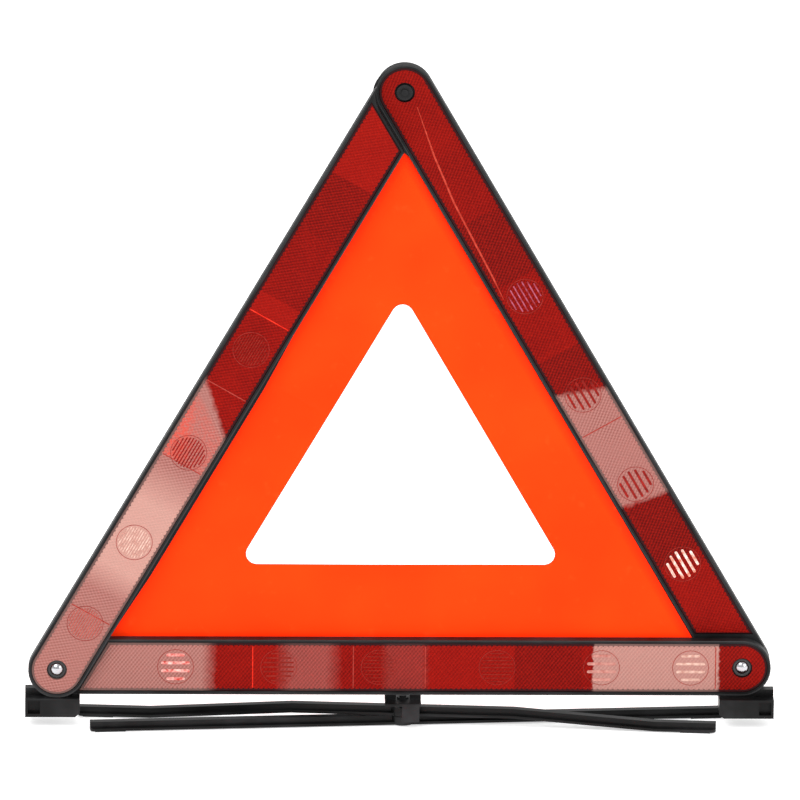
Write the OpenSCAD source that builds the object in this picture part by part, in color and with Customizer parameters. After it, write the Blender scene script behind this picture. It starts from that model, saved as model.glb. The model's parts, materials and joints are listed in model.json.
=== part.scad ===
// Folding roadside warning triangle: three reflector arms, a fluorescent sheet and a crossed-leg stand.
// +X is the viewer's right, the reflective faces look along -Y, +Z is up.
// The origin is on the floor, under the middle of the bottom arm, in that arm's middle plane.

/* [Triangle] */
// Distance between neighbouring corner pivots
span = 406; // [340:1:460]
// Height of the two lower corner pivots above the floor
pivot_z = 35.8; // [34:0.2:45]
// Width of one reflector arm
arm_w = 34; // [33:0.5:40]
// Thickness of one reflector arm
arm_t = 6.5; // [5.5:0.1:8]
// Gap between the left arm and the bottom arm
front_gap = 0.5; // [0.4:0.1:1]
// Gap between the bottom arm and the right arm, where the sheet hangs
back_gap = 1.8; // [1.6:0.1:3]
// Backward lean of the left arm, in degrees
left_lean = 0.55; // [0:0.05:0.6]
// Forward lean of the right arm, in degrees
right_lean = 0.7; // [0:0.05:0.75]
// How far the right arm's rear flange stands behind the sheet's edge
right_flange = 5; // [3:0.5:5]
// How far the left arm's rear flange shows beside the sheet
left_flange = 2.4; // [1:0.2:2.4]

/* [Lens] */
// Width of the red reflector strip
lens_w = 29.8; // [26:0.1:30]
// Width of the plate that closes the back of an arm
cover_w = 19; // [16:0.5:20]
// Thickness of the red reflector
lens_t = 2.3; // [1.8:0.1:2.8]
// Diameter of the round clearing in the reflector at each pivot
lens_hole_d = 11.6; // [10.8:0.1:13]

/* [Sheet] */
// Thickness of the fluorescent sheet
sheet_t = 0.6; // [0.5:0.1:0.8]
// Distance from the middle of the window in the sheet to its sides
window_inradius = 55.5; // [40:0.5:70]
// Corner radius of the window
window_r = 6.5; // [4:0.5:12]
// How far the sheet reaches behind the left and bottom arms
sheet_tuck = 8; // [4:0.5:12]

/* [Pivots] */
// Diameter of the rivet shanks
rivet_d = 5; // [4:0.1:6]
// Diameter of the domed rivet heads
rivet_head_d = 8; // [7:0.1:9]
// Diameter of the snap stud at the top corner
stud_d = 9.4; // [8:0.1:9.6]

/* [Stand] */
// Length of one leg from the pin to its front tip
leg_reach = 186; // [165:1:186]
// Length of one leg from the pin to its rear tip
leg_rear = 193; // [165:1:195]
// Width of a leg
leg_w = 10; // [8:0.5:10]
// Angle of each leg away from the bottom arm, as it stands
leg_angle = 4.6; // [4.6:0.1:7]
// Diameter of the pin that the legs turn on
pin_d = 4; // [3:0.1:4.5]
// Sideways place of the leg pin
pin_x = 2; // [0:0.5:4]
// Width of an end bracket
bracket_w = 32.4; // [28:0.1:33]
// Depth of an end bracket
bracket_depth = 24; // [18:0.5:26]

/* [Hidden] */
$fn = 96;

head_r = arm_w / 2;
lens_r = lens_w / 2;
half_span = span / 2;
rise = span * sin(60);
gap = 0.15;
lens_pocket = lens_t + 0.4;
cover_t = 1.2;
cover_pocket = cover_t + 0.3;
tail_clear = 0.4;
flange_t = 1.2;
tail_r = head_r - 2.6;
rib_reach = 3.6;
ring_reach = 3;
lens_end = 1.7;
left_y = -(arm_t + front_gap);
right_y = arm_t + back_gap;
sheet_y = arm_t / 2 + 0.3;
under_z = pivot_z - head_r;
bracket_top = under_z - 0.2;
bracket_bottom = 7.2;
bracket_in = half_span - 13.6;
bracket_out = bracket_in + bracket_w;
pad_t = 0.8;
leg_h = 5.2;
leg_flange = 1.6;
leg_lift = leg_h + 0.4;
joggle_in = 66;
joggle_out = 150;
clip_front = -13;
clip_plate = 1.6;
clip_top = under_z - 3;
bore = 0.05;
peg_d = 2.6;
peg_h = 1.6;

black = [0.09, 0.09, 0.1];
red = [0.75, 0.06, 0.03];
orange = [1, 0.32, 0.13];
steel = [0.75, 0.75, 0.77];
rubber = [0.05, 0.05, 0.05];

// ---- outlines, drawn with the arm along +X, its round head at 0 and its outer edge at +Y ----

module strip(r, from, to) {
  translate([from, -r]) square([to - from, 2 * r]);
}

module slant_side(u, r) {
  // everything before a line that crosses the arm at 60 degrees, through u on the centre line
  polygon([[-2 * r, -2 * r], [u - 2 * r * tan(30), -2 * r], [u + 2 * r * tan(30), 2 * r], [-2 * r, 2 * r]]);
}

module full_outline(r, end_r) {
  strip(r, 0, span - 14);
  circle(r);
  hull() {
    strip(r, span - 15, span - 14);
    translate([span, 0]) circle(end_r);
  }
}

module cut_outline(r) {
  // the tail stops short of the neighbouring arm's head
  difference() {
    intersection() {
      union() {
        strip(r, 0, span);
        circle(r);
      }
      union() {
        slant_side(span - (head_r + tail_clear) / cos(30), head_r);
        translate([span - 24, head_r / 2]) square([24, head_r]);
      }
    }
    translate([span, 0]) circle(head_r + tail_clear);
  }
}

module lens_outline(r, end_gap) {
  difference() {
    intersection() {
      union() {
        strip(r, 0, span);
        circle(r);
      }
      slant_side(span - (head_r + end_gap) / cos(30), head_r);
    }
    circle(d = lens_hole_d + 2 * (lens_r - r));
  }
}

// ---- arm layers, front face at +arm_t / 2 ----

module arm_housing(open_tail, clear_d, end_r = head_r) {
  difference() {
    translate([0, 0, -arm_t / 2]) linear_extrude(arm_t) {
      if (open_tail) cut_outline(head_r);
      else full_outline(head_r, end_r);
    }
    translate([0, 0, arm_t / 2 - lens_pocket])
      linear_extrude(lens_pocket + 1) lens_outline(lens_r + gap, lens_end);
    translate([0, 0, -arm_t / 2 - 1])
      linear_extrude(cover_pocket + 1) cover_outline(cover_w / 2 + gap, -gap);
    translate([0, 0, arm_t / 2 - lens_pocket]) cylinder(h = lens_pocket + 1, d = lens_hole_d);
    translate([0, 0, -arm_t]) cylinder(h = 2 * arm_t, d = clear_d);
    if (!open_tail) translate([span, 0, -arm_t]) cylinder(h = 2 * arm_t, d = clear_d);
  }
}

module cover_outline(r, inset) {
  translate([24 + inset, -r]) square([span - 62 - 2 * inset, 2 * r]);
}

module flange(from, to, reach, ramp) {
  // a thin rib along the inner edge, which runs out over the length of ramp at both ends
  linear_extrude(flange_t)
    polygon([[from, -head_r + 1], [from, -head_r], [from + ramp, -head_r - reach],
      [to - ramp, -head_r - reach], [to, -head_r], [to, -head_r + 1]]);
}

module arm_lens() {
  translate([0, 0, arm_t / 2 - lens_pocket]) linear_extrude(lens_t) lens_outline(lens_r, lens_end + 0.2);
}

module arm_back() {
  translate([0, 0, -arm_t / 2 + cover_pocket - cover_t])
    linear_extrude(cover_t) cover_outline(cover_w / 2, 0);
}

// ---- places ----

module at_left() {
  translate([-half_span, left_y, pivot_z]) rotate([90 - left_lean, 0, 0]) children();
}

module at_right() {
  translate([half_span, right_y, pivot_z]) rotate([90 + right_lean, 0, 0]) children();
}

module at_bottom() {
  translate([half_span, 0, pivot_z]) rotate([90, 0, 0]) rotate([0, 0, 180]) children();
}

module on_left_arm() {
  at_left() rotate([0, 0, 60]) children();
}

module on_right_arm() {
  at_right() rotate([0, 0, -60]) translate([-span, 0, 0]) children();
}

// the mid plane of a leaning arm passes through its own pivot, so a rivet follows the lean of its arm

module left_rivet_hole(extra) {
  at_left() translate([0, 0, -20]) cylinder(h = 40, d = rivet_d + 2 * extra);
}

module right_rivet_hole(extra) {
  at_right() translate([0, 0, -20]) cylinder(h = 40, d = rivet_d + 2 * extra);
}

// ---- bottom arm ----

module peg_hole() {
  cylinder(h = peg_h + 1.2, d = peg_d);
}

module bottom_arm_housing() {
  color(black) difference() {
    at_bottom() arm_housing(false, rivet_d - 1, tail_r);
    left_rivet_hole(bore);
    right_rivet_hole(bore);
    for (side = [-1, 1]) translate([side * (half_span - 8), 0, under_z - 1]) peg_hole();
    for (side = [-1, 1]) translate([pin_x + side * 7.4, 0, under_z - 1]) peg_hole();
    for (x = sheet_stud_x)
      translate([x, arm_t / 2 - 1, sheet_stud_z]) rotate([-90, 0, 0]) cylinder(h = 2, d = 3);
  }
}

module bottom_arm_lens() {
  color(red) at_bottom() arm_lens();
}

module bottom_arm_back() {
  color(black) at_bottom() arm_back();
}

// ---- left arm ----

module left_arm_housing() {
  color(black) on_left_arm() {
    arm_housing(true, rivet_d + 2 * bore);
    translate([0, 0, -arm_t / 2]) flange(22, 265, left_flange, 55);
  }
}

module left_arm_lens() {
  color(red) on_left_arm() arm_lens();
}

module left_arm_back() {
  color(black) on_left_arm() arm_back();
}

// ---- right arm ----

module right_arm_housing() {
  color(black) on_right_arm() {
    arm_housing(false, rivet_d + 2 * bore);
    translate([0, 0, -arm_t / 2]) flange(14, span - 22, right_flange, right_flange);
    // a lip level with the front, behind the cut tail of the left arm
    translate([0, 0, arm_t / 2 - flange_t]) {
      flange(-3, 35, rib_reach, 9);
      // and a crescent under the rim of the round head
      linear_extrude(flange_t) difference() {
        translate([-0.5, 0.6 - ring_reach]) circle(head_r - 0.6);
        circle(head_r - 1);
        strip(head_r - 1, 0, 2 * head_r);
      }
    }
  }
}

module right_arm_lens() {
  color(red) on_right_arm() arm_lens();
}

module right_arm_back() {
  color(black) on_right_arm() arm_back();
}

// ---- rivets: z runs toward the front ----

module rivet(front, back) {
  translate([0, 0, back - 0.9]) cylinder(h = front - back + 0.9, d = rivet_d);
  translate([0, 0, back - 0.9]) cylinder(h = 0.9, d = rivet_head_d);
  translate([0, 0, front]) rotate_extrude() intersection() {
    translate([0, rivet_dome_h - rivet_dome_r]) circle(rivet_dome_r);
    square([rivet_head_d / 2, rivet_dome_h]);
  }
}

rivet_dome_h = 2;
rivet_dome_r = (pow(rivet_head_d / 2, 2) + pow(rivet_dome_h, 2)) / (2 * rivet_dome_h);
washer_t = 0.6;
left_seat = arm_t / 2 - lens_pocket + washer_t + 0.05;
left_foot = -(arm_t + front_gap) - arm_t / 2 - 0.05;
right_seat = right_y + arm_t / 2 - lens_pocket + washer_t + 0.2;
right_foot = -arm_t / 2 - 0.05;

module left_rivet() {
  color(steel) at_left() rivet(left_seat, left_foot);
}

module washer() {
  difference() {
    cylinder(h = washer_t, d = lens_hole_d - 1);
    translate([0, 0, -1]) cylinder(h = washer_t + 2, d = rivet_d + 2 * bore);
  }
}

module left_rivet_washer() {
  color(rubber) at_left() translate([0, 0, left_seat - washer_t]) washer();
}

module right_rivet() {
  color(steel) at_right() rivet(right_seat, right_foot);
}

module right_rivet_washer() {
  color(rubber) at_right() translate([0, 0, right_seat - washer_t]) washer();
}

// ---- top snap, carried by the right arm's head ----

module snap_stud() {
  seat = arm_t / 2 - lens_pocket;
  color(black) on_right_arm() {
    translate([0, 0, seat]) cylinder(h = 2.2, d = stud_d);
    translate([0, 0, seat + 2.2]) cylinder(h = 0.7, d = stud_d * 0.45);
    translate([0, 0, -arm_t / 2]) cylinder(h = seat + arm_t / 2, d = rivet_d);
  }
}

module snap_retainer() {
  color(rubber) on_right_arm() translate([0, 0, -arm_t / 2 - 1.2]) cylinder(h = 1.2, d = stud_d);
}

// ---- fluorescent sheet ----

sheet_mid_z = pivot_z + rise / 3;
arm_in = span / (2 * sqrt(3)) - head_r;
sheet_stud_x = [-120, 0, 120];
sheet_stud_z = pivot_z + head_r - sheet_tuck + 3;

module triangle(inradius) {
  polygon([for (a = [90, 210, 330]) 2 * inradius * [cos(a), sin(a)]]);
}

module rounded_triangle(inradius, r) {
  // equal sides, round corners: three bands and a circle in each corner
  core = inradius - r;
  side = core * tan(60);
  for (a = [90, 210, 330]) translate(2 * core * [cos(a), sin(a)]) circle(r);
  triangle(core);
  for (a = [30, 150, 270]) rotate(a) translate([core - 1, -side]) square([r + 1, 2 * side]);
}

module sheet_outline() {
  difference() {
    intersection() {
      triangle(arm_in + sheet_tuck);
      // the right edge stops beside the right arm
      rotate(30) translate([-3 * span, -span]) square([3 * span + arm_in - 0.3, 2 * span]);
      // blunt lower left corner and blunt tip, clear of the corner heads
      translate([-half_span + 30, -span]) square([span, 2 * span]);
      translate([-span, -span]) square([2 * span, span + 2 * arm_in + 4]);
    }
    rounded_triangle(window_inradius, window_r);
  }
}

module fluorescent_sheet() {
  color(orange) difference() {
    translate([0, sheet_y + sheet_t, sheet_mid_z])
      rotate([90, 0, 0]) linear_extrude(sheet_t) sheet_outline();
    for (x = sheet_stud_x)
      translate([x, sheet_y - 1, sheet_stud_z]) rotate([-90, 0, 0]) cylinder(h = 3, d = 3.2);
  }
}

module sheet_studs() {
  color(black) for (x = sheet_stud_x) translate([x, 0, sheet_stud_z]) rotate([-90, 0, 0]) {
    translate([0, 0, arm_t / 2 - 1]) cylinder(h = sheet_y + sheet_t - arm_t / 2 + 1.05, d = 3);
    translate([0, 0, sheet_y + sheet_t + 0.05]) cylinder(h = 0.4, d = 5);
  }
}

// ---- end brackets ----

module bracket(side) {
  color(black) difference() {
    union() {
      translate([side > 0 ? bracket_in : -bracket_out, -bracket_depth / 2, bracket_bottom])
        cube([bracket_w, bracket_depth, bracket_top - bracket_bottom]);
      // a cradle hugs the round end of the bottom arm
      difference() {
        translate([side > 0 ? bracket_in + 4 : -bracket_out, -arm_t / 2, bracket_top - 1])
          cube([bracket_w - 4, arm_t, 5]);
        translate([side * half_span, -arm_t, pivot_z])
          rotate([-90, 0, 0]) cylinder(h = 2 * arm_t, r = head_r + 0.1);
        translate([side > 0 ? bracket_in - 20 : -half_span, -arm_t, under_z - 0.1])
          cube([half_span - bracket_in + 20, 2 * arm_t, 9]);
      }
    }
    // outer pocket
    translate([side * (bracket_out - 5.2) - 3.6, -bracket_depth / 2 - 1, bracket_bottom + 2])
      cube([7.2, 5, bracket_top - bracket_bottom - 3.4]);
    // sloping chin toward the legs
    translate([side * bracket_in, 0, bracket_bottom]) rotate([0, side * 40, 0])
      cube([8, bracket_depth + 2, 3.6], center = true);
    // hollow underside
    translate([side * (half_span + 4) - 11, -4, bracket_bottom - 1])
      cube([22, 8, bracket_top - bracket_bottom - 1.6]);
    // the rear half stands lower, clear of the lip of the folded right arm
    translate([side > 0 ? bracket_in - 1 : -bracket_out - 1, right_y - arm_t / 2 - 0.25, bracket_top - 4.2])
      cube([bracket_w + 2, bracket_depth, 10]);
    translate([side * (half_span - 8), 0, bracket_bottom - 2]) cylinder(h = 20, d = peg_d);
  }
}

module left_bracket() {
  bracket(-1);
}

module right_bracket() {
  bracket(1);
}

module bracket_pins() {
  color(steel) for (side = [-1, 1]) translate([side * (half_span - 8), 0, 0]) {
    translate([0, 0, bracket_top - 2.6]) cylinder(h = under_z + peg_h - bracket_top + 2.6, d = peg_d);
    translate([0, 0, bracket_top - 4]) cylinder(h = 1.4, d = peg_d);
  }
}

// ---- stand ----

module centre_clip() {
  color(black) difference() {
    union() {
      for (side = [-1, 1]) {
        translate([pin_x + side * 7.4 - 3.3, -3, clip_top]) cube([6.6, 6, under_z - clip_top]);
        translate([pin_x + side * 7.4, 0, under_z - 0.1]) cylinder(h = peg_h + 0.1, d = peg_d);
      }
      translate([pin_x - 10.7, clip_front, clip_top - 1.4]) cube([21.4, 19, 1.6]);
      translate([pin_x - 0.6, clip_front, 4.8]) cube([10.3, clip_plate, clip_top - 4.8]);
    }
    translate([pin_x, 0, 0]) cylinder(h = 30, d = pin_d);
  }
}

module leg_pin() {
  color(black) translate([pin_x, 0, 0]) {
    translate([0, 0, 1]) cylinder(h = clip_top + 0.8, d = pin_d);
    translate([0, 0, 0.6]) cylinder(h = 0.9, d = pin_d + 3);
  }
}

module leg_pin_washer() {
  color(black) translate([pin_x, 0, clip_top + 0.25]) difference() {
    cylinder(h = 0.8, d = pin_d + 3);
    translate([0, 0, -1]) cylinder(h = 3, d = pin_d);
  }
}

// a leg is drawn with its front tip at -X and its rear tip at +X

module leg_side(lift, base, top) {
  // side view of a leg: level ends, and a centre that is raised by lift
  polygon([[-leg_reach, base], [-joggle_out, base], [-joggle_in, base + lift],
    [joggle_in, base + lift], [joggle_out, base], [leg_rear, base],
    [leg_rear, top], [joggle_out, top], [joggle_in, top + lift],
    [-joggle_in, top + lift], [-joggle_out, top], [-leg_reach, top]]);
}

module leg_layer(lift, width, height) {
  translate([0, width / 2, 0]) rotate([90, 0, 0])
    linear_extrude(width) leg_side(lift, pad_t, pad_t + height);
}

module leg_plan(r) {
  translate([-leg_reach + r, -leg_w / 2 - r]) square([leg_reach + leg_rear - 2 * r, leg_w + 2 * r]);
  translate([-leg_reach, -leg_w / 2 + r]) square([leg_reach + leg_rear, leg_w - 2 * r]);
  for (x = [-leg_reach + r, leg_rear - r])
    for (y = [-1, 1]) translate([x, y * (leg_w / 2 - r)]) circle(r);
}

module leg(lift) {
  rotate([0, 0, leg_angle]) difference() {
    intersection() {
      union() {
        leg_layer(lift, leg_w, leg_flange);
        leg_layer(lift, leg_w / 2, leg_h);
        translate([0, 0, lift + pad_t]) cylinder(h = leg_h, d = leg_w + 4);
      }
      translate([0, 0, -1]) linear_extrude(20) leg_plan(3);
    }
    cylinder(h = 30, d = pin_d + 2 * bore);
    if (lift == 0) cylinder(h = pad_t + 0.9, d = pin_d + 3.2);
  }
}

module pads() {
  rotate([0, 0, leg_angle]) for (x = [-leg_reach + 12, leg_rear - 12])
    translate([x - 9, -leg_w / 2 + 1.2, 0]) cube([18, leg_w - 2.4, pad_t]);
}

// leg a runs from the front left to the rear right, leg b from the front right over it
module leg_a() {
  color(black) translate([pin_x, 0, 0]) leg(0);
}

module leg_b() {
  color(black) translate([pin_x, 0, 0]) mirror([1, 0, 0]) leg(leg_lift);
}

module leg_a_pads() {
  color(rubber) translate([pin_x, 0, 0]) pads();
}

module leg_b_pads() {
  color(rubber) translate([pin_x, 0, 0]) mirror([1, 0, 0]) pads();
}

bottom_arm_housing();
bottom_arm_lens();
bottom_arm_back();
left_arm_housing();
left_arm_lens();
left_arm_back();
right_arm_housing();
right_arm_lens();
right_arm_back();
left_rivet();
left_rivet_washer();
right_rivet();
right_rivet_washer();
snap_stud();
snap_retainer();
fluorescent_sheet();
sheet_studs();
left_bracket();
right_bracket();
bracket_pins();
centre_clip();
leg_pin();
leg_pin_washer();
leg_a();
leg_b();
leg_a_pads();
leg_b_pads();
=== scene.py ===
import json
import math

import bpy
from mathutils import Matrix, Vector


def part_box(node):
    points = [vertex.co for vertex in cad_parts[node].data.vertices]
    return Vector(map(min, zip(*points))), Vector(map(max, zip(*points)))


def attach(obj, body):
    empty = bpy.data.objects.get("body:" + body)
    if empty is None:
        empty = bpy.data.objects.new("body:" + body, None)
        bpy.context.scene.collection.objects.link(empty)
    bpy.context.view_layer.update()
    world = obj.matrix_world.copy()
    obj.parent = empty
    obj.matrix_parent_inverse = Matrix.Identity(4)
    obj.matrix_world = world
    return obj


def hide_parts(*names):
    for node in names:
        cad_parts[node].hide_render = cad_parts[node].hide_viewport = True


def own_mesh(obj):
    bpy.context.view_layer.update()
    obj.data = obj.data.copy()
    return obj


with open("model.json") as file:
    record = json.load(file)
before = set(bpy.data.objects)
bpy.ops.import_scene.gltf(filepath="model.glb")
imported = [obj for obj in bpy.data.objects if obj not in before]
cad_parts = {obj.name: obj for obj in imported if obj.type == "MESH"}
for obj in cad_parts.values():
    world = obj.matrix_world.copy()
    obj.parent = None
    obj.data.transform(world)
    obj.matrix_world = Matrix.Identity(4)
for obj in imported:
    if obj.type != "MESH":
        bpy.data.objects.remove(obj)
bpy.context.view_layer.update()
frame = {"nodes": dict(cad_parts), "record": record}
NODES = frame["nodes"]
JOINT = {j["name"]: j for j in frame["record"]["behaviour"]["joints"]}

# ---- sizes in metres, those of the CAD first ----

LEFT = Vector(JOINT["left_arm_fold"]["pos_m"])
RIGHT = Vector(JOINT["right_arm_fold"]["pos_m"])
SPAN = RIGHT.x - LEFT.x
RISE = SPAN * math.sin(math.radians(60))
ARM_LOW, ARM_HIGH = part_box("bottom_arm_housing")
ARM_W = ARM_HIGH.z - ARM_LOW.z
ARM_T = ARM_HIGH.y - ARM_LOW.y
HEAD_R = ARM_W / 2
LENS_LOW, LENS_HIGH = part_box("bottom_arm_lens")
LENS_W = LENS_HIGH.z - LENS_LOW.z
LENS_T = LENS_HIGH.y - LENS_LOW.y
LENS_TOP = -LENS_LOW.y
SHEET_LOW, SHEET_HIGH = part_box("fluorescent_sheet")
# from the middle of the triangle to the inner edges of the arms
INNER = SPAN / (2 * math.sqrt(3)) - HEAD_R

# lens plate, with its hole for a rivet or the stud and its gap to the neighbouring arm's head
HOLE_R = 0.0058
PLATE_END_GAP = 0.0019
PLATE_BEVEL = 0.00025
# prism field on the plate, whose long edges are rows of cell points
CELL_W = 0.0271
CELL_H = 0.00022
CELL_BEVEL = 0.0001
CELL_SINK = 0.0002
TOOTH = 0.0030
TOOTH_DEPTH = 0.0007
HOLE_GAP = 0.0002
# round pads, segment lines and the weld line, all raised a little above the prism field
DETAIL_SINK = 0.0001
PAD_R = 0.0108
PAD_RIM_W = 0.0003
RIB_MARGIN = 0.0010
RIB_H = 0.0002
RIB_BEVEL = 0.0001
LINE_W = 0.0006
LINE_H = 0.00012
LINE_BEVEL = 0.00005
STREAK_W = 0.0011
# lip on the edge of a housing, between two distances from its outline
LIP_OUT = 0.0001
LIP_IN = 0.0008
LIP_SINK = 0.0002
LIP_H = 0.00008
LIP_BEVEL = 0.00005
LIP_END_GAP = 0.0012
LIP_SHORT = 0.004
# orange film and its window
FILM_T = 0.0003
TUCK = 0.008
RIGHT_GAP = 0.0003
CORNER_CUT = 0.030
WINDOW_INRADIUS = 0.0555
WINDOW_R = 0.0065
# softened edges of the CAD's black pieces
SOFT_EDGE = 0.0003

ARC_STEPS = 32
WEAVE = 2800.0  # fine pattern of the prisms, in radians per metre
# painted shade and painted reflection: the red of lens segments drawn darker and brighter
SHADED_SEGMENT_RED = (0.070, 0.0014, 0.0010, 1.0)
LIT_SEGMENT_RED = (0.235, 0.0045, 0.0020, 1.0)


# ---- materials ----

class Paint:
    """A node material under construction: add() makes a node and links or sets its inputs.

    An input is named by its label, with _ for a space, or by its number, as i0, i1 and so on."""

    def __init__(self, name):
        self.material = bpy.data.materials.new(name)
        self.material.use_nodes = True
        self.tree = self.material.node_tree
        self.shader = self.tree.nodes["Principled BSDF"]

    def add(self, kind, settings=None, **inputs):
        node = self.tree.nodes.new(kind)
        for key, value in (settings or {}).items():
            setattr(node, key, value)
        for key, value in inputs.items():
            numbered = key[0] == "i" and key[1:].isdigit()
            self.put(node, int(key[1:]) if numbered else key.replace("_", " "), value)
        return node

    def put(self, node, key, value):
        socket = node.inputs[key]
        if isinstance(value, bpy.types.NodeSocket):
            self.tree.links.new(value, socket)
        else:
            socket.default_value = value

    def coords(self):
        return self.add("ShaderNodeTexCoord").outputs["Object"]

    def noise(self, vector, scale, detail=3.0, rough=0.55):
        node = self.add("ShaderNodeTexNoise", Vector=vector, Scale=scale, Detail=detail, Roughness=rough)
        return node.outputs["Fac"]

    def math(self, operation, a, b=0.0, c=0.0, clamp=False):
        node = self.add("ShaderNodeMath", {"operation": operation, "use_clamp": clamp}, i0=a, i1=b, i2=c)
        return node.outputs[0]

    def ramp(self, value, low, high, out_low=0.0, out_high=1.0):
        node = self.add("ShaderNodeMapRange", Value=value, From_Min=low, From_Max=high,
                        To_Min=out_low, To_Max=out_high)
        return node.outputs[0]

    def mix(self, factor, a, b):
        node = self.add("ShaderNodeMix", {"data_type": "RGBA"}, i0=factor, i6=a, i7=b)
        return node.outputs[2]

    def bump(self, height, distance, strength=1.0, normal=None):
        node = self.add("ShaderNodeBump", Height=height, Distance=distance, Strength=strength)
        if normal is not None:
            self.put(node, "Normal", normal)
        return node.outputs["Normal"]

    def finish(self, **sockets):
        for key, value in sockets.items():
            self.put(self.shader, key.replace("_", " "), value)
        return self.material


def rgb(r, g, b):
    return (r, g, b, 1.0)


def black_plastic(name, tone, rough, grain):
    """Moulded black plastic: fine grain, cloudy sheen and paler worn edges."""
    p = Paint(name)
    co = p.coords()
    cloud = p.noise(co, 35.0)
    fine = p.noise(co, grain, 4.0)
    edge = p.add("ShaderNodeNewGeometry").outputs["Pointiness"]
    worn = p.math("MULTIPLY", p.ramp(edge, 0.52, 0.60), p.ramp(cloud, 0.4, 0.7))
    dark = tone * 0.7
    base = p.mix(p.ramp(cloud, 0.3, 0.7), rgb(dark, dark, dark), rgb(tone, tone * 1.02, tone * 1.06))
    colour = p.mix(p.math("MULTIPLY", worn, 0.35), base, rgb(0.06, 0.06, 0.063))
    return p.finish(Base_Color=colour, Roughness=p.ramp(cloud, 0.3, 0.7, rough - 0.07, rough + 0.08),
                    Specular_IOR_Level=0.12, Normal=p.bump(fine, 0.0001, 0.3))


def steel():
    p = Paint("bright_steel")
    co = p.coords()
    cloud = p.noise(co, 90.0)
    colour = p.mix(cloud, rgb(0.34, 0.34, 0.36), rgb(0.52, 0.52, 0.54))
    return p.finish(Base_Color=colour, Metallic=1.0, Roughness=p.ramp(cloud, 0.3, 0.7, 0.12, 0.2),
                    Normal=p.bump(p.noise(co, 700.0), 0.00006, 0.3))


def rubber():
    p = Paint("black_rubber")
    co = p.coords()
    grain = p.noise(co, 900.0, 4.0)
    colour = p.mix(grain, rgb(0.012, 0.012, 0.013), rgb(0.035, 0.035, 0.036))
    return p.finish(Base_Color=colour, Roughness=p.ramp(grain, 0.3, 0.7, 0.6, 0.8),
                    Normal=p.bump(grain, 0.0001, 0.4))


def painted_glare_mask(p, co, u, v, glares):
    """How much painted glare reflection lies on each place of a lens: 0 for none."""
    ragged = p.math("MULTIPLY_ADD", p.noise(co, 300.0, 2.0), 0.004, -0.002)
    glare = 0.0
    for start, end, slant_a, slant_b, blur, strength in glares:
        low = p.math("ADD", p.math("MULTIPLY_ADD", v, slant_a, u), ragged)
        high = p.math("ADD", p.math("MULTIPLY_ADD", v, slant_b, u), ragged)
        after = p.ramp(low, start - blur, start + blur)
        before = p.ramp(high, end + blur, end - blur)
        patch = p.math("MULTIPLY", p.math("MULTIPLY", after, before), strength)
        glare = patch if glare == 0.0 else p.math("MAXIMUM", glare, patch)
    return glare


def lens_border(name, glares):
    """The smooth clear-red margin round the prism field, dark because the housing shows through."""
    p = Paint(name)
    co = p.coords()
    split = p.add("ShaderNodeSeparateXYZ", Vector=co)
    cloud = p.noise(co, 60.0)
    colour = p.mix(cloud, rgb(0.012, 0.001, 0.002), rgb(0.035, 0.002, 0.003))
    glare = painted_glare_mask(p, co, split.outputs[0], split.outputs[1], glares)
    # painted reflection: the margin is paler where the lamps' glare is painted on
    colour = p.mix(p.math("MULTIPLY", glare, 0.75), colour, rgb(0.20, 0.115, 0.10))
    return p.finish(Base_Color=colour, Roughness=p.ramp(cloud, 0.3, 0.7, 0.3, 0.45), Specular_IOR_Level=0.10,
                    Normal=p.bump(cloud, 0.0001, 0.15))


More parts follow.
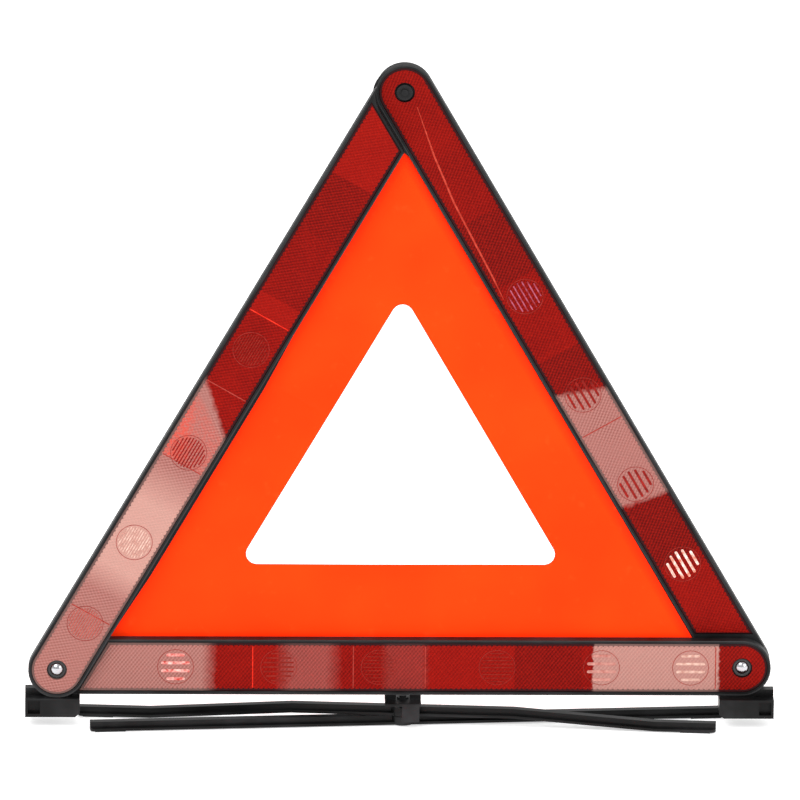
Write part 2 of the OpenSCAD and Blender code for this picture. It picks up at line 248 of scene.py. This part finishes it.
def lens_cells(name, lean, glares, segments, red_glints, glows):
    """Red prism field: a fine slanted weave, segments painted darker or brighter as painted shade and
    painted reflection, and pale patches of painted glare reflection along the arm.

    PAINTED_GLARES, SEGMENTS, PAINTED_RED_GLINTS and GLOWS say what the rows of the four lists hold."""
    p = Paint(name)
    co = p.coords()
    split = p.add("ShaderNodeSeparateXYZ", Vector=co)
    u, v = split.outputs[0], split.outputs[1]
    cloud = p.noise(co, 45.0)
    speck = p.noise(co, 900.0, 2.0)
    main_rows = p.math("SINE", p.math("MULTIPLY", p.math("MULTIPLY_ADD", v, lean, u), WEAVE))
    cross_rows = p.math("SINE", p.math("MULTIPLY", p.math("MULTIPLY_ADD", v, -lean, u), WEAVE))
    weave = p.math("MULTIPLY_ADD", cross_rows, 0.35, p.math("MULTIPLY", main_rows, 0.65))
    red = p.mix(p.ramp(cloud, 0.35, 0.65), rgb(0.112, 0.0012, 0.0006), rgb(0.150, 0.0020, 0.0008))
    # painted shade and painted reflection: some segments darker, some brighter red
    for start, end, light_shift in segments:
        inside = p.math("MULTIPLY", p.ramp(u, start, start + 0.0003), p.ramp(u, end, end - 0.0003))
        red = p.mix(p.math("MULTIPLY", inside, abs(light_shift)), red, SHADED_SEGMENT_RED if light_shift < 0 else LIT_SEGMENT_RED)
    lit = p.mix(p.ramp(weave, -0.6, 0.9, 0.0, 0.50), red, rgb(0.33, 0.006, 0.002))
    grain = p.mix(p.ramp(speck, 0.5, 0.8, 0.0, 0.35), lit, rgb(0.38, 0.012, 0.005))
    # painted reflection: pale glare patches and their palest glows, painted into the colour
    glare = painted_glare_mask(p, co, u, v, glares)
    pale = p.mix(p.ramp(weave, -1.0, 1.0), rgb(0.23, 0.082, 0.070), rgb(0.40, 0.205, 0.178))
    pale = p.mix(p.ramp(cloud, 0.3, 0.7, 0.0, 0.6), pale, rgb(0.32, 0.150, 0.130))
    for far, near, low, lower, most in glows:
        glow = p.math("MULTIPLY", p.ramp(u, far, near), p.ramp(u, lower, low))
        pale = p.mix(p.math("MULTIPLY", glow, most), pale, rgb(0.56, 0.34, 0.285))
    colour = p.mix(glare, grain, pale)
    # painted reflection: patches of lively red light beside the outer edge
    for start, end, centre, slant, most in red_glints:
        beside = p.math("SUBTRACT", v, p.math("MULTIPLY", p.math("SUBTRACT", u, centre), slant))
        patch = p.math("MULTIPLY", p.ramp(u, start, start + 0.0006), p.ramp(u, end, end - 0.008))
        patch = p.math("MULTIPLY", patch, p.ramp(beside, -0.003, 0.003))
        patch = p.math("MULTIPLY", patch, p.ramp(speck, 0.35, 0.6, most * 0.2, most))
        colour = p.mix(patch, colour, rgb(0.52, 0.060, 0.038))
    return p.finish(Base_Color=colour, Roughness=p.ramp(speck, 0.3, 0.7, 0.42, 0.6), Specular_IOR_Level=0.05,
                    Normal=p.bump(weave, 0.00025, 0.5, p.bump(speck, 0.0001, 0.3)))


def pad_red(name, base, tip):
    p = Paint(name)
    co = p.coords()
    cloud = p.noise(co, 300.0)
    return p.finish(Base_Color=p.mix(p.ramp(cloud, 0.35, 0.65), rgb(*base), rgb(*tip)),
                    Roughness=p.ramp(cloud, 0.3, 0.7, 0.35, 0.5), Specular_IOR_Level=0.08,
                    Normal=p.bump(cloud, 0.0001, 0.3))


def film(centre):
    """Fluorescent film: glowing orange, with a redder band of painted shade beside the arms, and faint
    handling marks.

    The painted shade starts later beside the bottom arm, which is at 270 degrees from the centre."""
    p = Paint("fluorescent_film")
    co = p.coords()
    place = p.add("ShaderNodeVectorMath", {"operation": "SUBTRACT"}, i0=co, i1=centre).outputs[0]
    reach = None
    for angle, late in ((30, 0.0), (150, 0.0), (270, 0.0035)):
        way = (math.cos(math.radians(angle)), 0.0, math.sin(math.radians(angle)))
        dot = p.add("ShaderNodeVectorMath", {"operation": "DOT_PRODUCT"}, i0=place, i1=way)
        along = p.math("SUBTRACT", dot.outputs["Value"], late)
        reach = along if reach is None else p.math("MAXIMUM", reach, along)
    # painted shade: a redder band beside the arms
    shade = p.ramp(reach, INNER - 0.0065, INNER - 0.0015)
    cloud = p.noise(co, 14.0, 2.0)
    marks = p.noise(co, 160.0, 5.0)
    bright = p.mix(p.ramp(cloud, 0.35, 0.65), rgb(1.0, 0.031, 0.0006), rgb(1.0, 0.040, 0.0016))
    colour = p.mix(p.math("MULTIPLY", shade, 0.85), bright, rgb(1.0, 0.017, 0.0010))
    fold = p.mix(p.ramp(marks, 0.62, 0.75, 0.0, 0.25), colour, rgb(1.0, 0.062, 0.008))
    return p.finish(Base_Color=fold, Emission_Color=fold, Emission_Strength=0.20,
                    Roughness=p.ramp(cloud, 0.3, 0.7, 0.55, 0.7), Specular_IOR_Level=0.05,
                    Normal=p.bump(marks, 0.0002, 0.12))


def floor_paint():
    p = Paint("pale_floor")
    cloud = p.noise(p.coords(), 3.0)
    colour = p.mix(cloud, rgb(0.95, 0.95, 0.95), rgb(0.97, 0.97, 0.97))
    return p.finish(Base_Color=colour, Roughness=p.ramp(cloud, 0.3, 0.7, 0.8, 0.9), Specular_IOR_Level=0.1,
                    Emission_Color=colour, Emission_Strength=0.55)


ARM_BLACK = black_plastic("arm_plastic", 0.007, 0.46, 1400.0)
STAND_BLACK = black_plastic("stand_plastic", 0.006, 0.34, 900.0)
STEEL = steel()
RUBBER = rubber()
LINE_RED = pad_red("segment_line", (0.55, 0.012, 0.004), (0.75, 0.030, 0.012))
LINE_SOFT = pad_red("soft_segment_line", (0.24, 0.022, 0.014), (0.34, 0.04, 0.03))
LINE_ORANGE = pad_red("weld_line", (0.30, 0.018, 0.009), (0.43, 0.045, 0.026))
# the pale, white, soft and mixed rib tones are painted reflection of the lamps' glare on the pads
RIBS = {"dark": pad_red("dark_rib", (0.13, 0.006, 0.004), (0.26, 0.012, 0.008)),
        "faint": pad_red("faint_rib", (0.16, 0.006, 0.003), (0.23, 0.018, 0.011)),
        "hatch": pad_red("hatch_rib", (0.30, 0.045, 0.034), (0.42, 0.09, 0.07)),
        "soft": pad_red("soft_rib", (0.34, 0.11, 0.09), (0.50, 0.25, 0.21)),
        "pale": pad_red("pale_rib", (0.42, 0.20, 0.160), (0.62, 0.42, 0.35)),
        "white": pad_red("white_rib", (0.50, 0.16, 0.10), (0.90, 0.72, 0.64)),
        "violet": pad_red("violet_rib", (0.20, 0.012, 0.016), (0.36, 0.09, 0.15)),
        "mixed": pad_red("mixed_rib", (0.46, 0.012, 0.006), (0.72, 0.46, 0.41))}
RIM_SOFT = pad_red("pad_rim", (0.19, 0.010, 0.006), (0.27, 0.03, 0.022))
# paler grey than the housing: a painted highlight along the arms' outer edges
RIM_PAINTED_HIGHLIGHT = black_plastic("rim_painted_highlight", 0.030, 0.42, 1400.0)


# ---- arms: u runs from the round head along the arm, v toward its outer edge ----

def arm_place(arm):
    """Where an arm's (u, v) plane lies, with its third axis toward the viewer."""
    if arm == "bottom_arm":
        lean, turn, origin = 0.0, 180.0, Vector((RIGHT.x, 0, RIGHT.z))
    elif arm == "left_arm":
        lean, turn, origin = -lean_of("left_arm_fold"), 60.0, LEFT
    else:
        lean, turn, origin = lean_of("right_arm_fold"), -60.0, RIGHT
    place = (Matrix.Translation(origin) @ Matrix.Rotation(math.radians(90) + lean, 4, "X")
             @ Matrix.Rotation(math.radians(turn), 4, "Z"))
    if arm == "right_arm":
        place = place @ Matrix.Translation((-SPAN, 0, 0))
    return place


def lean_of(joint):
    """How far an arm leans out of the upright, in radians, from its joint's axis."""
    axis = JOINT[joint]["axis"]
    return math.atan2(abs(axis[2]), abs(axis[1]))


def slant_u(v, end_gap):
    """Where an arm's slanted end is at v, for that gap to the neighbouring arm's head."""
    return SPAN - (HEAD_R + end_gap) / math.cos(math.radians(30)) + v * math.tan(math.radians(30))


def arc(cx, cy, r, start, end, steps):
    angles = [math.radians(start + (end - start) * k / steps) for k in range(steps + 1)]
    return [(cx + r * math.cos(angle), cy + r * math.sin(angle)) for angle in angles]


def plain_outline(r, end_gap):
    return arc(0, 0, r, 90, 270, ARC_STEPS) + [(slant_u(-r, end_gap), -r), (slant_u(r, end_gap), r)]


def tooth(k, edge, tip):
    """The point where two cells of the prism field meet, and its feet on the edge."""
    start = k * TOOTH
    return [(start + TOOTH * 0.25, edge), (start + TOOTH * 0.5, tip), (start + TOOTH * 0.75, edge)]


def toothed_outline(r, end_gap):
    """The prism field's outline: both long edges are rows of cell points."""
    lower_end, upper_end = slant_u(-r, end_gap), slant_u(r, end_gap)
    points = arc(0, 0, r, 90, 270, ARC_STEPS)
    for k in range(int(lower_end / TOOTH)):
        points += tooth(k, -r, -r + TOOTH_DEPTH)
    points += [(lower_end, -r), (upper_end, r)]
    for k in reversed(range(int(upper_end / TOOTH))):
        points += reversed(tooth(k, r, r - TOOTH_DEPTH))
    return points


def add_spline(curve, points):
    spline = curve.splines.new("POLY")
    spline.points.add(len(points) - 1)
    for point, (x, y) in zip(spline.points, points):
        point.co = (x, y, 0, 1)
    spline.use_cyclic_u = True


def plate(name, arm, loops, low, high, bevel, material):
    """A flat piece on an arm, from outlines in (u, v), between heights low and high, with rounded edges."""
    curve = bpy.data.curves.new(name, "CURVE")
    curve.dimensions = "2D"
    curve.fill_mode = "BOTH"
    for loop in loops:
        add_spline(curve, loop)
    curve.extrude = (high - low) / 2 - bevel
    curve.bevel_depth = bevel
    curve.bevel_resolution = 2
    curve.offset = -bevel
    holder = bpy.data.objects.new(name + "_curve", curve)
    bpy.context.collection.objects.link(holder)
    scene_graph = bpy.context.evaluated_depsgraph_get()
    mesh = bpy.data.meshes.new_from_object(holder.evaluated_get(scene_graph))
    bpy.data.objects.remove(holder)
    mesh.transform(Matrix.Translation((0, 0, (low + high) / 2)))
    piece = bpy.data.objects.new(name, mesh)
    bpy.context.collection.objects.link(piece)
    mesh.materials.clear()
    mesh.materials.append(material)
    for face in mesh.polygons:
        face.use_smooth = False
    piece.matrix_world = arm_place(arm)
    bpy.context.view_layer.update()
    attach(piece, "base" if arm == "bottom_arm" else arm)
    return piece


def circle_points(u, v, r, steps=48):
    return arc(u, v, r, 0, 360 - 360 / steps, steps - 1)


def rib_loops(u, v, r, count, width):
    """Round-ended bars along the arm, cut to fit inside a circle."""
    loops = []
    pitch = 2 * r / count
    for k in range(count):
        y = -r + pitch * (k + 0.5)
        half = math.sqrt(max(r * r - y * y, 0)) - width
        if half > width:
            loops.append(arc(u + half, v + y, width / 2, -90, 90, 6)
                         + arc(u - half, v + y, width / 2, 90, 270, 6))
    return loops


# painted glare reflection on the lenses, by place along the arm: (from, to, slant at from, slant at to,
# blur, strength)
PAINTED_GLARES = {
    "left_arm": [(-0.030, 0.186, 0.0, -0.92, 0.0020, 0.80)],
    "bottom_arm": [(0.316, 0.430, 0.0, 0.0, 0.0045, 0.85), (0.0139, 0.0885, 0.0, 0.0, 0.0006, 0.90),
                   (0.242, 0.272, 0.0, 0.0, 0.005, 0.30), (0.1875, 0.212, 0.0, 0.0, 0.0025, 0.12)],
    "right_arm": [(0.2113, 0.288, -0.37, -0.17, 0.0016, 0.78)],
}
# painted reflection of lively red light beside the outer edge:
# (from, to, where its slanted inner side crosses the middle line, slope of that side, strength)
PAINTED_RED_GLINTS = {"left_arm": [(0.1470, 0.190, 0.153, 0.42, 0.75), (0.1470, 0.193, 0.1798, 1.46, 0.35)]}
# where the painted glare reflection is palest: (none, full, full, none, strength)
GLOWS = {"left_arm": [(0.142, 0.116, 0.072, 0.055, 0.7)],
         "bottom_arm": [(0.095, 0.092, 0.010, 0.008, 0.27)]}
# the slant of the rows of prisms
LEAN = {"left_arm": 0.8, "bottom_arm": -0.8, "right_arm": 0.8}
# how far each prism field stays from the neighbouring arm's head
END_GAP = {"left_arm": 0.0026, "bottom_arm": 0.0034, "right_arm": 0.0026}
# lens segments painted darker or brighter, as painted shade and painted reflection: (from, to, light shift),
# deep below zero and lively above
SEGMENTS = {
    "left_arm": [(0.306, 0.345, -0.55), (0.262, 0.306, -0.25), (0.345, 0.392, 0.45), (0.248, 0.262, 0.5)],
    "bottom_arm": [(0.095, 0.135, -0.5), (0.135, 0.186, 0.35), (0.0, 0.0139, -0.4), (0.2745, 0.290, 0.3)],
    "right_arm": [(0.0875, 0.132, -0.85), (0.184, 0.2113, -0.8), (0.045, 0.0875, -0.2), (0.288, 0.330, -0.9),
                  (0.340, 0.392, 0.2)],
}
# pads: (place along the arm, rib count, rib width, kind of rib)
PADS = {
    "left_arm": [(0.2276, 13, 0.0005, "faint"), (0.1548, 11, 0.0008, "dark"), (0.0911, 13, 0.0007, "pale"),
                 (0.0333, 13, 0.0005, "hatch")],
    "bottom_arm": [(0.3358, 4, 0.0019, "mixed"), (0.2747, 7, 0.0009, "faint"), (0.2152, 9, 0.0005, "faint"),
                   (0.1453, 9, 0.0005, "faint"), (0.0834, 4, 0.0018, "soft"), (0.0306, 4, 0.0016, "pale")],
    "right_arm": [(0.1436, 7, 0.0008, "violet"), (0.2135, 5, 0.0014, "dark"), (0.2770, 5, 0.0015, "dark"),
                  (0.3342, 5, 0.0016, "white")],
}
# thin lines across the lens, by place along the arm
LINES = {"left_arm": [0.2485, 0.1985, 0.1465, 0.0395], "bottom_arm": [0.2898, 0.2302, 0.1875, 0.0155],
         "right_arm": [0.2360]}
# weld line on the right arm's lens, as (u, v)
STREAK = [(0.0113, 0.0020), (0.0420, -0.0040), (0.0728, -0.0080), (0.1009, -0.0095), (0.1238, -0.0106),
          (0.1391, -0.0118)]


def ribbon(points, width):
    """The outline of a thin band that tapers to a point at both ends."""
    left, right = [], []
    for index, (u, v) in enumerate(points):
        before, after = points[max(index - 1, 0)], points[min(index + 1, len(points) - 1)]
        along_u, along_v = after[0] - before[0], after[1] - before[1]
        length = math.hypot(along_u, along_v)
        side_u, side_v = -along_v / length, along_u / length
        half = width / 2 * (0.25 if index in (0, len(points) - 1) else 1.0)
        left.append((u + side_u * half, v + side_v * half))
        right.append((u - side_u * half, v - side_v * half))
    return left + right[::-1]


def make_lens(arm):
    """An arm's lens: plate, prism field, ribbed round pads and segment lines."""
    plate_top = LENS_TOP - CELL_H
    sunk = LENS_TOP - DETAIL_SINK
    hole = circle_points(0, 0, HOLE_R)
    base = plate(arm + "_lens_plate", arm, [plain_outline(LENS_W / 2, PLATE_END_GAP), hole],
                 LENS_TOP - LENS_T, plate_top, PLATE_BEVEL, lens_border(arm + "_margin", PAINTED_GLARES[arm]))
    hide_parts(arm + "_lens")
    ring = circle_points(0, 0, HOLE_R + HOLE_GAP)
    prisms = lens_cells(arm + "_prisms", LEAN[arm], PAINTED_GLARES[arm], SEGMENTS[arm], PAINTED_RED_GLINTS.get(arm, []),
                        GLOWS.get(arm, []))
    cells = plate(arm + "_prism_field", arm, [toothed_outline(CELL_W / 2, END_GAP[arm]), ring],
                  plate_top - CELL_SINK, LENS_TOP, CELL_BEVEL, prisms)
    for index, (u, count, width, kind) in enumerate(PADS[arm]):
        loops = rib_loops(u, 0, PAD_R - RIB_MARGIN, count, width)
        ribs = plate("%s_pad_%d_ribs" % (arm, index), arm, loops, sunk, LENS_TOP + RIB_H, RIB_BEVEL,
                     RIBS[kind])
        loops = [circle_points(u, 0, PAD_R), circle_points(u, 0, PAD_R - PAD_RIM_W)]
        rim = plate("%s_pad_%d_rim" % (arm, index), arm, loops, sunk, LENS_TOP + LINE_H, LINE_BEVEL,
                    RIM_SOFT)
    half = CELL_W / 2 - TOOTH_DEPTH
    for index, u in enumerate(LINES[arm]):
        bar = [(u, -half), (u + LINE_W, -half), (u + LINE_W, half), (u, half)]
        line = plate("%s_segment_line_%d" % (arm, index), arm, [bar], sunk, LENS_TOP + LINE_H, LINE_BEVEL,
                     LINE_RED if index == 0 and arm != "right_arm" else LINE_SOFT)
    if arm == "right_arm":
        streak = plate("right_arm_weld_line", arm, [ribbon(STREAK, STREAK_W)], sunk, LENS_TOP + LINE_H,
                       LINE_BEVEL, LINE_ORANGE)


def full_loop(r):
    return arc(0, 0, r, 90, 270, ARC_STEPS) + arc(SPAN, 0, r, -90, 90, ARC_STEPS)


def make_rim(arm):
    """A fine raised lip along the housing's outer edge, which catches the light and is coloured paler grey
    as a painted highlight.
    """
    out_r, in_r = HEAD_R - LIP_OUT, HEAD_R - LIP_IN
    if arm == "left_arm":
        end = slant_u(-HEAD_R, LIP_END_GAP)
        top_end = slant_u(HEAD_R, LIP_END_GAP) - LIP_SHORT
        outer = arc(0, 0, out_r, 90, 270, ARC_STEPS) + [(end, -out_r), (end, -in_r)]
        inner = arc(0, 0, in_r, 90, 270, ARC_STEPS)[::-1] + [(top_end, in_r), (top_end, out_r)]
        loops = [outer + inner]
    else:
        loops = [full_loop(out_r), full_loop(in_r)]
    rim = plate(arm + "_lip", arm, loops, ARM_T / 2 - LIP_SINK, ARM_T / 2 + LIP_H, LIP_BEVEL, RIM_PAINTED_HIGHLIGHT)


for arm in ("bottom_arm", "left_arm", "right_arm"):
    make_lens(arm)
    make_rim(arm)


# ---- fluorescent sheet ----

def core_distance(x, z, core):
    """Distance from a point to an upright equilateral triangle of that inradius, negative inside."""
    corner_angles = [math.radians(degrees) for degrees in (90, 210, 330)]
    side_angles = [math.radians(degrees) for degrees in (30, 150, 270)]
    corners = [(2 * core * math.cos(a), 2 * core * math.sin(a)) for a in corner_angles]
    inside = max(x * math.cos(a) + z * math.sin(a) - core for a in side_angles)
    if inside <= 0:
        return inside
    best = 1e9
    for k in range(3):
        ax, az = corners[k]
        bx, bz = corners[(k + 1) % 3]
        t = ((x - ax) * (bx - ax) + (z - az) * (bz - az)) / ((bx - ax) ** 2 + (bz - az) ** 2)
        t = min(max(t, 0), 1)
        best = min(best, math.hypot(x - ax - t * (bx - ax), z - az - t * (bz - az)))
    return best


def window_reach(angle):
    """How far the window's rounded edge is from its centre at an angle, found by halving."""
    low, high = 0.0, 0.3
    core = WINDOW_INRADIUS - WINDOW_R
    for _ in range(40):
        mid = (low + high) / 2
        if core_distance(mid * math.cos(angle), mid * math.sin(angle), core) < WINDOW_R:
            low = mid
        else:
            high = mid
    return low


def sheet_reach(angle, limits):
    """How far the sheet goes from the window's centre, given (normal angle, distance) of its edges."""
    ways = [(distance, math.cos(angle - math.radians(normal))) for normal, distance in limits]
    return min(distance / way for distance, way in ways if way > 1e-6)


def make_sheet():
    """The taut film: a ring of quads from the window to the outer edges, tucked behind two arms."""
    centre = Vector((0, (SHEET_LOW.y + SHEET_HIGH.y) / 2, LEFT.z + RISE / 3))
    limits = [(150, INNER + TUCK), (270, INNER + TUCK), (30, INNER - RIGHT_GAP),
              (180, SPAN / 2 - CORNER_CUT), (90, SHEET_HIGH.z - centre.z)]
    around, across = 360, 40
    mesh = bpy.data.meshes.new("sheet_film")
    verts, faces = [], []
    for i in range(around):
        angle = 2 * math.pi * i / around
        a, b = window_reach(angle), sheet_reach(angle, limits)
        for k in range(across + 1):
            r = a + (b - a) * k / across
            x, z = r * math.cos(angle), r * math.sin(angle)
            verts.append((centre.x + x, centre.y + sheet_wave(x, z), centre.z + z))
    for i in range(around):
        for k in range(across):
            p = i * (across + 1) + k
            q = ((i + 1) % around) * (across + 1) + k
            faces.append((p, p + 1, q + 1, q))
    mesh.from_pydata(verts, [], faces)
    mesh.update()
    for face in mesh.polygons:
        face.use_smooth = True
    piece = bpy.data.objects.new("sheet_film", mesh)
    bpy.context.collection.objects.link(piece)
    mesh.materials.append(film(centre))
    solid = piece.modifiers.new("thickness", "SOLIDIFY")
    solid.thickness = FILM_T
    solid.offset = 0
    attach(piece, "base")
    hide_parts("fluorescent_sheet")
    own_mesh(piece)


def crease(x, z, x0, z0, x1, z1, width, depth):
    """A soft ridge along the line from one point to another."""
    length = math.hypot(x1 - x0, z1 - z0)
    t = ((x - x0) * (x1 - x0) + (z - z0) * (z1 - z0)) / length ** 2
    off = ((x - x0) * (z1 - z0) - (z - z0) * (x1 - x0)) / length
    fade = math.exp(-max(abs(t - 0.5) - 0.5, 0) ** 2 * 30)
    return depth * fade * math.exp(-(off / width) ** 2)


def sheet_wave(x, z):
    """How far the film stands off its plane: slight waves, and two small creases on the left."""
    wave = 0.00018 * math.sin(x * 46 + z * 17) + 0.00012 * math.sin(z * 61 - x * 23 + 1.3)
    wave += crease(x, z, -0.067, 0.050, -0.046, 0.037, 0.0016, 0.00035)
    wave += crease(x, z, -0.037, 0.075, -0.026, 0.064, 0.0016, 0.00030)
    return wave


make_sheet()


# ---- carried-over CAD nodes ----

FINISH = {"arm_plastic": ARM_BLACK, "stand_plastic": STAND_BLACK, "bright_steel": STEEL,
          "black_rubber": RUBBER, "red_reflector": RIM_SOFT, "fluorescent_sheet": STAND_BLACK}


def dress(node, material, bevel):
    """Give a CAD node its material and, where bevel isn't 0, soft edges of that width."""
    obj = NODES[node]
    obj.data.materials.clear()
    obj.data.materials.append(material)
    if bevel:
        soft = obj.modifiers.new("soft_edges", "BEVEL")
        soft.width = bevel
        soft.segments = 2
        soft.limit_method = "ANGLE"
        soft.angle_limit = math.radians(40)


for part in frame["record"]["subparts"]:
    big = part["material_slot"] in ("stand_plastic", "arm_plastic")
    dress(part["node"], FINISH[part["material_slot"]], SOFT_EDGE if big else 0.0)


# ---- floor, light and camera ----

def add_light(name, place, target, size, watts):
    data = bpy.data.lights.new(name, "AREA")
    data.size = size
    data.energy = watts
    lamp = bpy.data.objects.new(name, data)
    bpy.context.collection.objects.link(lamp)
    lamp.location = place
    lamp.rotation_euler = (Vector(target) - Vector(place)).to_track_quat("-Z", "Y").to_euler()


def make_stage():
    """Pale floor, white surroundings and three soft lamps."""
    mesh = bpy.data.meshes.new("floor")
    side = 6.0
    corners = [(-side, -side, 0), (side, -side, 0), (side, side, 0), (-side, side, 0)]
    mesh.from_pydata(corners, [], [(0, 1, 2, 3)])
    floor = bpy.data.objects.new("floor", mesh)
    bpy.context.collection.objects.link(floor)
    mesh.materials.append(floor_paint())
    world = bpy.data.worlds.new("studio")
    world.use_nodes = True
    background = world.node_tree.nodes["Background"]
    background.inputs["Color"].default_value = (1.0, 1.0, 1.0, 1.0)
    background.inputs["Strength"].default_value = 0.85
    bpy.context.scene.world = world
    middle = (0, 0, 0.2)
    add_light("key_softbox", (-0.7, -1.4, 1.5), middle, 1.0, 22)
    add_light("fill_softbox", (1.2, -1.2, 0.7), middle, 0.9, 8)
    add_light("top_softbox", (0, 0.3, 1.8), middle, 1.2, 12)


def make_camera():
    """Long lens, a little to the left and above."""
    elevation, yaw, roll = math.radians(16.5), math.radians(1.26), math.radians(0.52)
    distance = 8.0
    width = 0.4713
    sensor = 36
    target = Vector((-0.0012, 0.0, 0.2001))
    data = bpy.data.cameras.new("camera")
    data.sensor_width = sensor
    data.lens = sensor * distance / width
    data.clip_end = 50
    camera = bpy.data.objects.new("camera", data)
    bpy.context.collection.objects.link(camera)
    level = math.cos(elevation)
    way = Vector((math.sin(yaw) * level, math.cos(yaw) * level, -math.sin(elevation)))
    camera.location = target - distance * way
    turn = way.to_track_quat("-Z", "Y").to_matrix().to_4x4() @ Matrix.Rotation(roll, 4, "Z")
    camera.matrix_world = Matrix.Translation(camera.location) @ turn
    bpy.context.scene.camera = camera


make_stage()
make_camera()
bpy.context.scene.view_settings.view_transform = "Standard"
